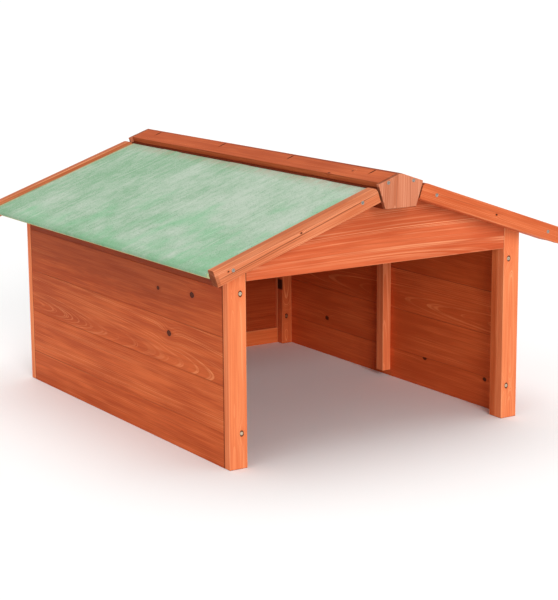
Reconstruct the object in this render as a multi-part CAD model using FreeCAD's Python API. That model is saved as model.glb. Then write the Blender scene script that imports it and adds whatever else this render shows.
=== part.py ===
import FreeCAD
import Part
import math
import os

# Gabled timber shelter: open front, no floor, a fixed ridge and two felted roof flaps.
# Millimetres. +X is right, +Y is rear, +Z is up. The origin is at the centre of the footprint,
# on the ground. The right half is drawn and the left half is its mirror image.

# ---- Driving dimensions -------------------------------------------------------------------
WALL_WIDTH = 616.0
WALL_DEPTH = 774.0
RIDGE_HEIGHT = 480.0
ROOF_PITCH = math.radians(19.0)

# Frame timbers
POST_WIDTH = 35.0
POST_THICKNESS = 16.0
POST_REBATE = 8.0
STILE_THICKNESS = 18.0
MID_BATTEN_WIDTH = 22.0
MID_BATTEN_DEPTH = 19.0
MID_BATTEN_LIFT = 12.0
LINTEL_HEIGHT = 317.0
RAIL_HEIGHT = 33.0

# Wall boards: the heights of the joints between them, from the ground up
SIDE_BOARD_THICKNESS = 10.0
REAR_BOARD_THICKNESS = 8.0
SIDE_JOINTS = [0.0, 60.0, 142.0, 224.0, 306.0, 355.0]
REAR_JOINTS = [0.0, 60.0, 142.0, 224.0, LINTEL_HEIGHT]

# Roof flaps, measured along the slope from the ridge line (u) and square to it (w).
# w is 0 on top of the felt.
FELT_THICKNESS = 1.2
ROOF_BOARD_THICKNESS = 6.0
BARGE_RISE = 7.7
BARGE_HEIGHT = 28.6
BARGE_THICKNESS = 17.0
BARGE_FRONT = 441.0
BARGE_ROUND = 11.0
BARGE_FOOT = 385.5
EAVE = 387.0
RAFTER_WIDTH = 24.0
HEAD_BATTEN_THICKNESS = 16.0
HEAD_BATTEN_HEIGHT = 24.0
HEAD_BATTEN_HALF_LENGTH = 369.0
ROOF_HEAD_LAP = 0.8

# Ridge
END_PLATE_THICKNESS = 8.0
RIDGE_FRONT = 443.0
RIDGE_SIDE = 45.8
RIDGE_DROP = 35.7
CAP_WIDTH = 40.0
CAP_THICKNESS = 10.0
END_GAP = 3.2

# Butt hinges
HINGE_PLACES = [-260.0, 0.0, 260.0]
HINGE_LENGTH = 50.0
FIXED_KNUCKLE_LENGTH = 20.0
LEAF_THICKNESS = 1.2
LEAF_HEIGHT = 22.0
BARREL_RADIUS = 3.0
PIN_RADIUS = 1.5
PIN_HEAD_RADIUS = 2.4
PIN_HEAD_LENGTH = 1.0
PIN_CLEARANCE = 0.08
KNUCKLE_GAP = 0.35
HINGE_SCREW_OFFSET = 16.0
HINGE_NOTCH_ROOM = 2.0

# Fasteners
SCREW_HEAD_RADIUS = 3.5
SCREW_SHANK_RADIUS = 1.8
SCREW_HEAD_LENGTH = 2.6
FRAME_SCREW_LENGTH = 30.0
HINGE_SCREW_HEAD_RADIUS = 2.6
HINGE_SCREW_SHANK_RADIUS = 1.2
HINGE_SCREW_LENGTH = 13.0
RECESS_WIDTH = 0.9
RECESS_DEPTH = 1.3
FRAME_SCREW_INSET = 24.0
FRAME_SCREW_HEIGHTS = [61.0, 297.5]
BARGE_SCREW_PLACES = [84.0, 350.0]
END_PLATE_SCREW = (26.0, 4.8)
STAPLE_PLACES = [-376.0, -121.0, 121.0, 376.0]
STAPLE_CROWN = 16.0
STAPLE_WIRE = 1.4
STAPLE_LEG = 20.0
STAPLE_START = 2.5
STAPLE_POCKET_WIDTH = 3.0
STAPLE_POCKET_DEPTH = 2.4

# Fits
EASED_EDGE = 0.8
BOARD_EASE = 0.5
FIT_GAP = 0.5
JOINT_GAP = 0.6

# ---- Worked-out sizes ---------------------------------------------------------------------
HALF_WIDTH = WALL_WIDTH / 2
HALF_DEPTH = WALL_DEPTH / 2
POST_INSIDE_X = HALF_WIDTH - POST_WIDTH
POST_INSIDE_Y = HALF_DEPTH - POST_THICKNESS
BOARD_INSIDE_X = HALF_WIDTH - SIDE_BOARD_THICKNESS
COS = math.cos(ROOF_PITCH)
SIN = math.sin(ROOF_PITCH)
CAP_TOP = CAP_THICKNESS - 0.2
FELT_RIDGE_HEIGHT = RIDGE_HEIGHT - CAP_TOP / COS
BEAM_TOP = CAP_TOP - CAP_THICKNESS
BOARD_TOP = -FELT_THICKNESS
BOARD_UNDER = BOARD_TOP - ROOF_BOARD_THICKNESS
BARGE_UNDER = BARGE_RISE - BARGE_HEIGHT
BARGE_BACK = BARGE_FRONT - BARGE_THICKNESS
RIDGE_END = RIDGE_FRONT - END_PLATE_THICKNESS
PIVOT_U = RIDGE_SIDE + BARREL_RADIUS
PIVOT_W = -BARREL_RADIUS
FLAP_HEAD = PIVOT_U + BARREL_RADIUS
ROOF_HEAD = PIVOT_U - ROOF_HEAD_LAP
Y_AXIS = FreeCAD.Vector(0, 1, 0)

os.makedirs("parts", exist_ok=True)


# ---- Shape helpers ------------------------------------------------------------------------
def slope(u, w):
    """A point of the right-hand roof slope, as (x, z)."""
    return u * COS + w * SIN, FELT_RIDGE_HEIGHT - u * SIN + w * COS


def box(x, y, z):
    """A box from three (low, high) pairs."""
    corner = FreeCAD.Vector(x[0], y[0], z[0])
    return Part.makeBox(x[1] - x[0], y[1] - y[0], z[1] - z[0], corner)


def prism(outline, y):
    """A straight length of timber with the given (x, z) outline, between two y values."""
    corners = [FreeCAD.Vector(px, y[0], pz) for px, pz in outline]
    face = Part.Face(Part.makePolygon(corners + corners[:1]))
    return face.extrude(FreeCAD.Vector(0, y[1] - y[0], 0))


def slope_block(u, w, y):
    """A block that lies square on the right-hand slope."""
    return prism([slope(u[0], w[0]), slope(u[1], w[0]), slope(u[1], w[1]), slope(u[0], w[1])], y)


def eased(solid, size=EASED_EDGE):
    """The solid with every edge planed off by a small chamfer."""
    return solid.makeChamfer(size, solid.Edges)


def mirrored(shape, axis):
    """The shape reflected left to right ("x") or front to rear ("y")."""
    normal = FreeCAD.Vector(axis == "x", axis == "y", 0)
    return shape.mirror(FreeCAD.Vector(0, 0, 0), normal)


def screw(point, direction, length, head=SCREW_HEAD_RADIUS, shank=SCREW_SHANK_RADIUS):
    """A countersunk screw and the plain shape of its hole. The head's face is at point."""
    taper = SCREW_HEAD_LENGTH * head / SCREW_HEAD_RADIUS
    tip = 2 * shank
    cone = Part.makeCone(head, shank, taper)
    rod = Part.makeCylinder(shank, length - taper - tip, FreeCAD.Vector(0, 0, taper))
    point_cone = Part.makeCone(shank, shank / 4, tip, FreeCAD.Vector(0, 0, length - tip))
    hole = cone.fuse([rod, point_cone]).removeSplitter()
    reach = 0.6 * head
    half = RECESS_WIDTH / 2
    cross = box((-reach, reach), (-half, half), (0, RECESS_DEPTH))
    cross = cross.fuse(box((-half, half), (-reach, reach), (0, RECESS_DEPTH)))
    turn = FreeCAD.Rotation(FreeCAD.Vector(0, 0, 1), direction)
    place = FreeCAD.Placement(point, turn)
    body = hole.cut(cross)
    body.Placement = place
    hole.Placement = place
    return body, hole


def drilled(solid, holes):
    """The solid without the holes that reach it."""
    near = [hole for hole in holes if solid.BoundBox.intersect(hole.BoundBox)]
    return solid.cut(near) if near else solid


# ---- Fasteners, made first so that the timbers can be drilled for them ------------------------
def frame_screws():
    """Two screws through each front post into its stile, and through each rear stile."""
    made = []
    x = HALF_WIDTH - FRAME_SCREW_INSET
    rear_face = POST_INSIDE_Y - STILE_THICKNESS
    for side in (-1, 1):
        for z in FRAME_SCREW_HEIGHTS:
            for y in (-HALF_DEPTH, rear_face):
                made.append(screw(FreeCAD.Vector(side * x, y, z), Y_AXIS, FRAME_SCREW_LENGTH))
    return made


def end_plate_screws():
    """Two screws through each ridge end plate into the ends of the cap boards."""
    made = []
    x, z = slope(*END_PLATE_SCREW)
    for side in (-1, 1):
        for end in (-1, 1):
            face = FreeCAD.Vector(side * x, end * RIDGE_FRONT, z)
            made.append(screw(face, Y_AXIS * -end, FRAME_SCREW_LENGTH))
    return made


def barge_screws():
    """Two screws through each right-hand barge board into its rafter."""
    made = []
    for u in BARGE_SCREW_PLACES:
        x, z = slope(u, (BARGE_RISE + BARGE_UNDER) / 2)
        for end in (-1, 1):
            face = FreeCAD.Vector(x, end * BARGE_FRONT, z)
            made.append(screw(face, Y_AXIS * -end, FRAME_SCREW_LENGTH))
    return made


def hinge_screws(u, outward):
    """Two small screws in every right-hand hinge leaf whose outer face is at u."""
    made = []
    x, z = slope(u, PIVOT_W - LEAF_HEIGHT / 2)
    direction = FreeCAD.Vector(outward * COS, 0, -outward * SIN)
    for place in HINGE_PLACES:
        for offset in (-HINGE_SCREW_OFFSET, HINGE_SCREW_OFFSET):
            made.append(screw(FreeCAD.Vector(x, place + offset, z), direction, HINGE_SCREW_LENGTH,
                              HINGE_SCREW_HEAD_RADIUS, HINGE_SCREW_SHANK_RADIUS))
    return made


def staples():
    """Wire staples, crown across the slope, sunk in pockets of the right-hand cap board."""
    made = []
    crown_top = CAP_TOP - STAPLE_POCKET_DEPTH + STAPLE_WIRE
    ends = (STAPLE_START, STAPLE_START + STAPLE_CROWN)
    for place in STAPLE_PLACES:
        y = (place - STAPLE_WIRE / 2, place + STAPLE_WIRE / 2)
        wire = slope_block(ends, (crown_top - STAPLE_WIRE, crown_top), y)
        for u in (ends[0], ends[1] - STAPLE_WIRE):
            leg = slope_block((u, u + STAPLE_WIRE), (crown_top - STAPLE_LEG, crown_top), y)
            wire = wire.fuse(leg)
        pocket_y = (place - STAPLE_POCKET_WIDTH / 2, place + STAPLE_POCKET_WIDTH / 2)
        pocket_u = (ends[0] - FIT_GAP, ends[1] + FIT_GAP)
        pocket = slope_block(pocket_u, (CAP_TOP - STAPLE_POCKET_DEPTH, CAP_TOP + 1), pocket_y)
        wire = wire.removeSplitter()
        made.append((wire, wire.fuse(pocket)))
    return made


def both_sides(pairs):
    """The fasteners and holes of the right side, with their mirror images."""
    return pairs + [(mirrored(body, "x"), mirrored(hole, "x")) for body, hole in pairs]


def bodies(pairs):
    return [body for body, hole in pairs]


def holes_of(pairs):
    return [hole for body, hole in pairs]


# ---- Walls -------------------------------------------------------------------------------------
def roof_underside(x):
    """The height just under the closed flap, at a distance x from the centre."""
    return FELT_RIDGE_HEIGHT - x * SIN / COS + (BOARD_UNDER - FIT_GAP) / COS


def post():
    """The right front post. Its top follows the roof."""
    outline = [(POST_INSIDE_X, 0), (HALF_WIDTH, 0)]
    outline += [(x, roof_underside(x)) for x in (HALF_WIDTH, POST_INSIDE_X)]
    return eased(prism(outline, (-HALF_DEPTH, -POST_INSIDE_Y)))


def rear_post():
    """The right rear post, rebated for the ends of the rear boards."""
    rebate = box((POST_INSIDE_X - 1, POST_INSIDE_X + POST_REBATE),
                 (HALF_DEPTH - POST_REBATE, HALF_DEPTH + 1), (-1, LINTEL_HEIGHT))
    return mirrored(post(), "y").cut(rebate)


def stile():
    """The upright in the right front corner, behind the post and inside the boards."""
    outside = BOARD_INSIDE_X
    y = (-POST_INSIDE_Y, -POST_INSIDE_Y + STILE_THICKNESS)
    return eased(box((POST_INSIDE_X, outside), y, (0, SIDE_JOINTS[-1])))


def mid_batten():
    """The upright half way along the right wall, short of the ground."""
    half = MID_BATTEN_WIDTH / 2
    x = (BOARD_INSIDE_X - MID_BATTEN_DEPTH, BOARD_INSIDE_X)
    return eased(box(x, (-half, half), (MID_BATTEN_LIFT, SIDE_JOINTS[-1])))


def side_board(low, high):
    """One board of the right wall."""
    reach = POST_INSIDE_Y - JOINT_GAP
    return eased(box((BOARD_INSIDE_X, HALF_WIDTH), (-reach, reach), (low, high)), BOARD_EASE)


def rear_board(low, high):
    """One board of the rear wall, its ends in the posts' rebates."""
    reach = POST_INSIDE_X + POST_REBATE
    y = (HALF_DEPTH - REAR_BOARD_THICKNESS, HALF_DEPTH)
    return eased(box((-reach, reach), y, (low, high)), BOARD_EASE)


def rear_rail():
    """The rail along the foot of the rear wall, in front of the boards."""
    y = (POST_INSIDE_Y, HALF_DEPTH - REAR_BOARD_THICKNESS)
    return eased(box((-POST_INSIDE_X, POST_INSIDE_X), y, (0, RAIL_HEIGHT)))


def gable_board():
    """The front gable board: level below, sloped above, notched for the ridge beam."""
    reach = POST_INSIDE_X - JOINT_GAP / 2
    notch_u = RIDGE_SIDE + FIT_GAP
    half = [(reach, LINTEL_HEIGHT), (reach, roof_underside(reach))]
    half.append(slope(notch_u, BOARD_UNDER - FIT_GAP))
    half.append(slope(notch_u, -RIDGE_DROP))
    outline = half + [(-x, z) for x, z in reversed(half)]
    return eased(prism(outline, (-HALF_DEPTH, -POST_INSIDE_Y)), BOARD_EASE)


# ---- Ridge -------------------------------------------------------------------------------------
def ridge_beam():
    """The five-sided beam that rests on both gable boards."""
    half = [slope(RIDGE_SIDE, -RIDGE_DROP), slope(RIDGE_SIDE, BEAM_TOP)]
    outline = half + [(0, FELT_RIDGE_HEIGHT + BEAM_TOP / COS)] + [(-x, z) for x, z in reversed(half)]
    return prism(outline, (-RIDGE_END, RIDGE_END))


def ridge_cap():
    """The right-hand cap board, mitred along the ridge line."""
    outline = [(0, RIDGE_HEIGHT), slope(CAP_WIDTH, CAP_TOP), slope(CAP_WIDTH, BEAM_TOP)]
    outline.append((0, FELT_RIDGE_HEIGHT + BEAM_TOP / COS))
    return eased(prism(outline, (-RIDGE_END, RIDGE_END)), BOARD_EASE)


def end_plate():
    """The five-sided plate over the front end of the ridge."""
    half = [slope(RIDGE_SIDE, -RIDGE_DROP), slope(RIDGE_SIDE, CAP_TOP)]
    outline = half + [(0, RIDGE_HEIGHT)] + [(-x, z) for x, z in reversed(half)]
    return eased(prism(outline, (-RIDGE_FRONT, -RIDGE_END)))


# ---- Right-hand roof flap ----------------------------------------------------------------------
def hinge_notches():
    """The bites out of the flap's upper edge that leave room for the hinges."""
    half = HINGE_LENGTH / 2 + HINGE_NOTCH_ROOM
    u = (ROOF_HEAD - 1, FLAP_HEAD + FIT_GAP)
    return [slope_block(u, (BOARD_UNDER - 1, 1), (place - half, place + half)) for place in HINGE_PLACES]


def roof_board():
    """The thin board under the felt."""
    u = (ROOF_HEAD, EAVE - FELT_THICKNESS)
    board = slope_block(u, (BOARD_UNDER, BOARD_TOP), (-BARGE_BACK, BARGE_BACK))
    return board.cut(hinge_notches())


def roof_felt():
    """The felt: a sheet over the board, folded down over its eave edge."""
    y = (-BARGE_BACK, BARGE_BACK)
    outline = [slope(ROOF_HEAD, 0), slope(EAVE, 0), slope(EAVE, BOARD_UNDER)]
    outline.append(slope(EAVE - FELT_THICKNESS, BOARD_UNDER))
    outline.append(slope(EAVE - FELT_THICKNESS, BOARD_TOP))
    outline.append(slope(ROOF_HEAD, BOARD_TOP))
    return prism(outline, y).cut(hinge_notches())


def barge_board():
    """The front barge board. Its upper end is rounded, to clear the end plate as the flap lifts."""
    head = RIDGE_SIDE + END_GAP
    y = (-BARGE_FRONT, -BARGE_BACK)
    plain = slope_block((head, BARGE_FOOT), (BARGE_UNDER, BARGE_RISE), y)
    corner = slope_block((head - 1, head + BARGE_ROUND), (BARGE_RISE - BARGE_ROUND, BARGE_RISE + 1), y)
    x, z = slope(head + BARGE_ROUND, BARGE_RISE - BARGE_ROUND)
    start = FreeCAD.Vector(x, y[0], z)
    drum = Part.makeCylinder(BARGE_ROUND, BARGE_THICKNESS, start, Y_AXIS)
    rounded = plain.cut(corner).fuse(drum.common(corner)).removeSplitter()
    return eased(rounded)


def rafter():
    """The batten under the roof board that the front barge board is screwed to."""
    u = (FLAP_HEAD + HEAD_BATTEN_THICKNESS, EAVE - HEAD_BATTEN_THICKNESS)
    y = (-BARGE_BACK, -BARGE_BACK + RAFTER_WIDTH)
    return eased(slope_block(u, (BARGE_UNDER, BOARD_UNDER), y))


def head_batten():
    """The batten along the flap's upper edge, which carries the hinges."""
    u = (FLAP_HEAD, FLAP_HEAD + HEAD_BATTEN_THICKNESS)
    w = (BOARD_UNDER - HEAD_BATTEN_HEIGHT, BOARD_UNDER)
    return eased(slope_block(u, w, (-HEAD_BATTEN_HALF_LENGTH, HEAD_BATTEN_HALF_LENGTH)))


# ---- Hinges ------------------------------------------------------------------------------------
def barrel(radius, y):
    """A cylinder on the right-hand pivot line."""
    x, z = slope(PIVOT_U, PIVOT_W)
    return Part.makeCylinder(radius, y[1] - y[0], FreeCAD.Vector(x, y[0], z), Y_AXIS)


def knuckles(place, fixed):
    """The y stretches of the fixed leaf's knuckle, or of the moving leaf's pair."""
    middle = FIXED_KNUCKLE_LENGTH / 2
    end = HINGE_LENGTH / 2
    if fixed:
        return [(place - middle, place + middle)]
    near = middle + KNUCKLE_GAP
    return [(place - end, place - near), (place + near, place + end)]


def hinge_leaf(place, fixed):
    """A leaf of one right-hand hinge, with its knuckles and without its screw holes."""
    inner = RIDGE_SIDE if fixed else FLAP_HEAD - LEAF_THICKNESS
    end = HINGE_LENGTH / 2
    leaf = slope_block((inner, inner + LEAF_THICKNESS), (PIVOT_W - LEAF_HEIGHT, PIVOT_W),
                       (place - end, place + end))
    for y in knuckles(place, not fixed):
        room = (y[0] - KNUCKLE_GAP, y[1] + KNUCKLE_GAP)
        leaf = leaf.cut(barrel(BARREL_RADIUS + KNUCKLE_GAP, room))
    for y in knuckles(place, fixed):
        leaf = leaf.fuse(barrel(BARREL_RADIUS, y))
    bore = PIN_RADIUS if fixed else PIN_RADIUS + PIN_CLEARANCE
    return leaf.removeSplitter().cut(barrel(bore, (place - end - 1, place + end + 1)))


def hinge_pin(place):
    """A pin with a small head at each end, just clear of the moving knuckles."""
    end = HINGE_LENGTH / 2 + KNUCKLE_GAP
    pin = barrel(PIN_RADIUS, (place - end, place + end))
    for y in ((place - end - PIN_HEAD_LENGTH, place - end), (place + end, place + end + PIN_HEAD_LENGTH)):
        pin = pin.fuse(barrel(PIN_HEAD_RADIUS, y))
    return pin.removeSplitter()


# ---- Assembly ----------------------------------------------------------------------------------
def export(name, shapes):
    """Writes one node: a single solid, or a group of separate ones."""
    shape = shapes[0] if len(shapes) == 1 else Part.makeCompound(shapes)
    shape.exportStep(os.path.join("parts", name + ".step"))
    print(name, len(shape.Solids), round(shape.Volume), shape.isValid())


def export_pair(name, right, holes):
    """Writes the right-hand piece and its mirror image, both drilled."""
    export(name + "_right", [drilled(right, holes)])
    export(name + "_left", [drilled(mirrored(right, "x"), holes)])


def build_root():
    """Everything that stands still."""
    frame_pairs = frame_screws()
    plate_pairs = end_plate_screws()
    staple_pairs = both_sides(staples())
    leaf_pairs = both_sides(hinge_screws(RIDGE_SIDE + LEAF_THICKNESS, -1))
    holes = holes_of(frame_pairs + plate_pairs + staple_pairs + leaf_pairs)

    export_pair("front_post", post(), holes)
    export_pair("rear_post", rear_post(), holes)
    export_pair("front_stile", stile(), holes)
    export_pair("rear_stile", mirrored(stile(), "y"), holes)
    export_pair("mid_batten", mid_batten(), holes)
    for number, (low, high) in enumerate(zip(SIDE_JOINTS, SIDE_JOINTS[1:]), 1):
        export_pair("side_board_%d" % number, side_board(low, high), holes)
    for number, (low, high) in enumerate(zip(REAR_JOINTS, REAR_JOINTS[1:]), 1):
        export("rear_board_%d" % number, [rear_board(low, high)])
    export("rear_rail", [rear_rail()])
    export("front_gable_board", [gable_board()])
    export("rear_gable_board", [mirrored(gable_board(), "y")])

    export("ridge_beam", [drilled(ridge_beam(), holes)])
    export_pair("ridge_cap", ridge_cap(), holes)
    export("ridge_end_plate_front", [drilled(end_plate(), holes)])
    export("ridge_end_plate_rear", [drilled(mirrored(end_plate(), "y"), holes)])

    leaves = [drilled(hinge_leaf(place, True), holes) for place in HINGE_PLACES]
    export("hinge_fixed_leaves", leaves + [mirrored(leaf, "x") for leaf in leaves])
    pins = [hinge_pin(place) for place in HINGE_PLACES]
    export("hinge_pins", pins + [mirrored(pin, "x") for pin in pins])
    export("hinge_fixed_screws", bodies(leaf_pairs))
    export("frame_screws", bodies(frame_pairs))
    export("ridge_end_plate_screws", bodies(plate_pairs))
    export("ridge_cap_staples", bodies(staple_pairs))


def build_flap(side):
    """One roof flap with everything that lifts with it."""
    barge_pairs = barge_screws()
    leaf_pairs = hinge_screws(FLAP_HEAD - LEAF_THICKNESS, 1)
    holes = holes_of(barge_pairs + leaf_pairs)
    pieces = {
        "roof_board": [roof_board()],
        "roof_felt": [roof_felt()],
        "barge_board_front": [barge_board()],
        "barge_board_rear": [mirrored(barge_board(), "y")],
        "rafter_front": [rafter()],
        "rafter_rear": [mirrored(rafter(), "y")],
        "head_batten": [head_batten()],
        "hinge_moving_leaves": [hinge_leaf(place, False) for place in HINGE_PLACES],
    }
    pieces = {name: [drilled(solid, holes) for solid in solids] for name, solids in pieces.items()}
    pieces["barge_screws"] = bodies(barge_pairs)
    pieces["hinge_moving_screws"] = bodies(leaf_pairs)
    for name, solids in pieces.items():
        if side == "left":
            solids = [mirrored(solid, "x") for solid in solids]
        export(name + "_" + side, solids)


build_root()
for flap_side in ("right", "left"):
    build_flap(flap_side)
pivot_x, pivot_z = slope(PIVOT_U, PIVOT_W)
print("pivot line at x = +/-%.3f, z = %.3f" % (pivot_x, pivot_z))
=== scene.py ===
"""A small open-fronted pet shelter of orange-stained fir with a felted, lift-up roof.

The sections follow the shelter as it is put together: uprights, walls, gables, ridge, hinges,
the two roof flaps, their felt and the screws. The floor, the lights and the camera come last.
"""

import math
import random

import bpy
from mathutils import Matrix, Vector, noise


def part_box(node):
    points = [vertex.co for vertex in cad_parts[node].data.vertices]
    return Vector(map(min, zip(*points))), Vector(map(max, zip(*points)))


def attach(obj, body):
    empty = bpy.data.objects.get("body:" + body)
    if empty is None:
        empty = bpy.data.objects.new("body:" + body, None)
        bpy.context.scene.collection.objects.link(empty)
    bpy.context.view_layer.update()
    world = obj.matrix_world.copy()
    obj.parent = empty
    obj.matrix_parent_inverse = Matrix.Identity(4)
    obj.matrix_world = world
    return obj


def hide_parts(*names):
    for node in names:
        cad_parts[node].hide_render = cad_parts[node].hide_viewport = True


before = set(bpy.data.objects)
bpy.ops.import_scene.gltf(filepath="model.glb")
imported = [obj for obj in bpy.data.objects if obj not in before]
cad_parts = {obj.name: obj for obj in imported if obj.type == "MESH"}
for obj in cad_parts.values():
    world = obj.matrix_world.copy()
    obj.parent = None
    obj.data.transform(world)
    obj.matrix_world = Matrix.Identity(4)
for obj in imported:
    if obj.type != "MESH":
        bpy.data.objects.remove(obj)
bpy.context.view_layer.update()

# ---- Posts ------------------------------------------------------------------------------------
# The four corner posts are planed fir strips, set upright with their wide faces to the front and
# rear. All the timber is brushed with an orange-brown stain that soaks in more between the
# growth rings than on them, so the hard rings show as paler lines.
UP = Vector((0, 0, 1))
DEEP = Vector((0, 1, 0))
WIDE = Vector((1, 0, 0))
MM = 0.001

STAIN = {"dark": (0.55, 0.100, 0.026), "light": (0.72, 0.160, 0.048), "line": (0.86, 0.29, 0.11)}
# The dark of knot hearts, also used for the rings, lines and bands of painted shade.
KNOT_AND_SHADE_STAIN = (0.040, 0.009, 0.003)
# The dark of sawn ends, also used as painted shade in holes and pockets.
END_GRAIN_AND_POCKET_SHADE = (0.17, 0.036, 0.012)
# Painted highlight: the pale colour that long edges take where light would catch the arris.
EDGE_HIGHLIGHT = (0.95, 0.40, 0.19)
POST_STAIN = {"dark": (0.72, 0.172, 0.060), "light": (0.84, 0.245, 0.092), "line": (0.92, 0.34, 0.15)}
POST_RING = 2.6 * MM
RING_WIDTH = 4.2 * MM


def connect(tree, socket, value):
    """Feeds a socket from another socket, or sets it to a plain value."""
    if isinstance(value, bpy.types.NodeSocket):
        tree.links.new(value, socket)
    else:
        socket.default_value = value


def maths(tree, operation, *values):
    """The result of a Math node fed with sockets or plain values."""
    node = tree.nodes.new("ShaderNodeMath")
    node.operation = operation
    for socket, value in zip(node.inputs, values):
        connect(tree, socket, value)
    return node.outputs[0]


def ramp(tree, value, low, high):
    """A smooth step from 0 at low to 1 at high."""
    node = tree.nodes.new("ShaderNodeMapRange")
    node.interpolation_type = "SMOOTHSTEP"
    connect(tree, node.inputs["Value"], value)
    connect(tree, node.inputs["From Min"], low)
    connect(tree, node.inputs["From Max"], high)
    return node.outputs["Result"]


def stretched_noise(tree, place, stretch, seed, detail):
    """A soft noise whose spots measure about one over stretch, in metres, each way."""
    scaled = tree.nodes.new("ShaderNodeVectorMath")
    scaled.operation = "MULTIPLY"
    connect(tree, scaled.inputs[0], place)
    scaled.inputs[1].default_value = stretch
    node = tree.nodes.new("ShaderNodeTexNoise")
    node.noise_dimensions = "4D"
    tree.links.new(scaled.outputs[0], node.inputs["Vector"])
    connect(tree, node.inputs["W"], seed)
    node.inputs["Scale"].default_value = 1
    node.inputs["Detail"].default_value = detail
    return node


def mixed(tree, share, first, second):
    """The first colour, with a share of the second mixed in."""
    node = tree.nodes.new("ShaderNodeMix")
    node.data_type = "RGBA"
    connect(tree, node.inputs["Factor"], share)
    for name, value in (("A", first), ("B", second)):
        socket = next(s for s in node.inputs if s.name == name and s.type == "RGBA")
        connect(tree, socket, value)
    return next(s for s in node.outputs if s.type == "RGBA")


def parted(tree, place):
    """The X, Y and Z of a place."""
    node = tree.nodes.new("ShaderNodeSeparateXYZ")
    tree.links.new(place, node.inputs[0])
    return node.outputs


def new_group(name, inputs, outputs):
    """An empty shader group with named sockets, and its input and output nodes."""
    tree = bpy.data.node_groups.new(name, "ShaderNodeTree")
    for label, kind in inputs:
        tree.interface.new_socket(label, in_out="INPUT", socket_type=kind)
    for label, kind in outputs:
        tree.interface.new_socket(label, in_out="OUTPUT", socket_type=kind)
    return tree, tree.nodes.new("NodeGroupInput").outputs, tree.nodes.new("NodeGroupOutput").inputs


NUMBER, PLACE, COLOUR = "NodeSocketFloat", "NodeSocketVector", "NodeSocketColor"
KNOT_INPUTS = ("Along", "Across", "Radius")
KNOT_OUTPUTS = [("Push", NUMBER), ("Heart", NUMBER), ("Halo", NUMBER)]
# Edges and reaches of a knot are in its own radii. Stretches are spots in a metre along, across
# and through the board.
KNOT_OVAL = 1.45
KNOT_RAGGED = 0.35
KNOT_RAG_STRETCH = (300, 400, 400)
KNOT_HEART_EDGE = (0.7, 1.05)
KNOT_RIM_EDGE = (0.45, 0.8)
KNOT_RIM_SHARE = 0.14
KNOT_REACH = 3.2
KNOT_PUSH = 1.5
KNOT_HALO_EDGE = (0.9, 2.4)


def make_knot_group():
    """One knot: it pushes the growth rings aside, and has a dark heart and a warm halo."""
    inputs = [("Place", PLACE)] + [(size, NUMBER) for size in KNOT_INPUTS] + KNOT_OUTPUTS
    tree, given, result = new_group("Fir knot", inputs, KNOT_OUTPUTS)
    x, y, _ = parted(tree, given["Place"])
    along = maths(tree, "DIVIDE", maths(tree, "SUBTRACT", x, given["Along"]), KNOT_OVAL)
    across = maths(tree, "SUBTRACT", y, given["Across"])
    distance = maths(tree, "SQRT", maths(tree, "ADD", maths(tree, "POWER", along, 2.0),
                                         maths(tree, "POWER", across, 2.0)))
    share = maths(tree, "DIVIDE", distance, given["Radius"])
    rag = stretched_noise(tree, given["Place"], KNOT_RAG_STRETCH, given["Along"], 1).outputs[0]
    share = maths(tree, "ADD", share, maths(tree, "MULTIPLY_ADD", rag, KNOT_RAGGED, -KNOT_RAGGED / 2))
    heart = maths(tree, "SUBTRACT", 1.0, ramp(tree, share, *KNOT_HEART_EDGE))
    rim = maths(tree, "MULTIPLY", ramp(tree, share, *KNOT_RIM_EDGE), heart)
    core = maths(tree, "MULTIPLY", heart, 1 - KNOT_RIM_SHARE)
    heart = maths(tree, "MULTIPLY_ADD", rim, KNOT_RIM_SHARE, core)
    spread = maths(tree, "DIVIDE", share, KNOT_REACH)
    swell = maths(tree, "EXPONENT", maths(tree, "MULTIPLY", maths(tree, "POWER", spread, 2.0), -1.0))
    push = maths(tree, "MULTIPLY", maths(tree, "MULTIPLY", swell, given["Radius"]), KNOT_PUSH)
    halo = maths(tree, "SUBTRACT", 1.0, ramp(tree, share, *KNOT_HALO_EDGE))
    tree.links.new(maths(tree, "ADD", push, given["Push"]), result["Push"])
    tree.links.new(maths(tree, "MAXIMUM", heart, given["Heart"]), result["Heart"])
    tree.links.new(maths(tree, "MAXIMUM", halo, given["Halo"]), result["Halo"])
    return tree


# Edges of a mark are in its own half width and half length.
MARK_INPUTS = ("Along", "Across", "Slant", "Half length", "Half width", "Share")
MARK_STRETCH = (30, 260, 260)
MARK_SIDE_EDGE = (1.4, 0.5)
MARK_END_EDGE = (1.1, 0.75)


def make_mark_group():
    """A dark line or band: a gum streak, a scratch, a dark patch, or painted shade in a staple pocket,
    along a groove or under the eave.
    """
    inputs = [("Place", PLACE)] + [(size, NUMBER) for size in (*MARK_INPUTS, "Heart")]
    tree, given, result = new_group("Fir mark", inputs, [("Heart", NUMBER)])
    x, y, _ = parted(tree, given["Place"])
    wander = stretched_noise(tree, given["Place"], MARK_STRETCH, given["Across"], 2).outputs[0]
    wander = maths(tree, "MULTIPLY", maths(tree, "SUBTRACT", wander, 0.5), given["Half width"])
    across = maths(tree, "SUBTRACT", y, given["Across"])
    across = maths(tree, "SUBTRACT", across, maths(tree, "MULTIPLY", x, given["Slant"]))
    across = maths(tree, "ABSOLUTE", maths(tree, "ADD", across, wander))
    along = maths(tree, "ABSOLUTE", maths(tree, "SUBTRACT", x, given["Along"]))
    beside = ramp(tree, maths(tree, "DIVIDE", across, given["Half width"]), *MARK_SIDE_EDGE)
    within = ramp(tree, maths(tree, "DIVIDE", along, given["Half length"]), *MARK_END_EDGE)
    mask = maths(tree, "MULTIPLY", maths(tree, "MULTIPLY", beside, within), given["Share"])
    tree.links.new(maths(tree, "MAXIMUM", mask, given["Heart"]), result["Heart"])
    return tree


BEND_STRETCH = (2.4, 7, 7)
FIBRE_STRETCH = (16, 700, 700)
STREAK_STRETCH = (6, 120, 120)
CLOUD_STRETCH = (5, 22, 22)
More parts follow.
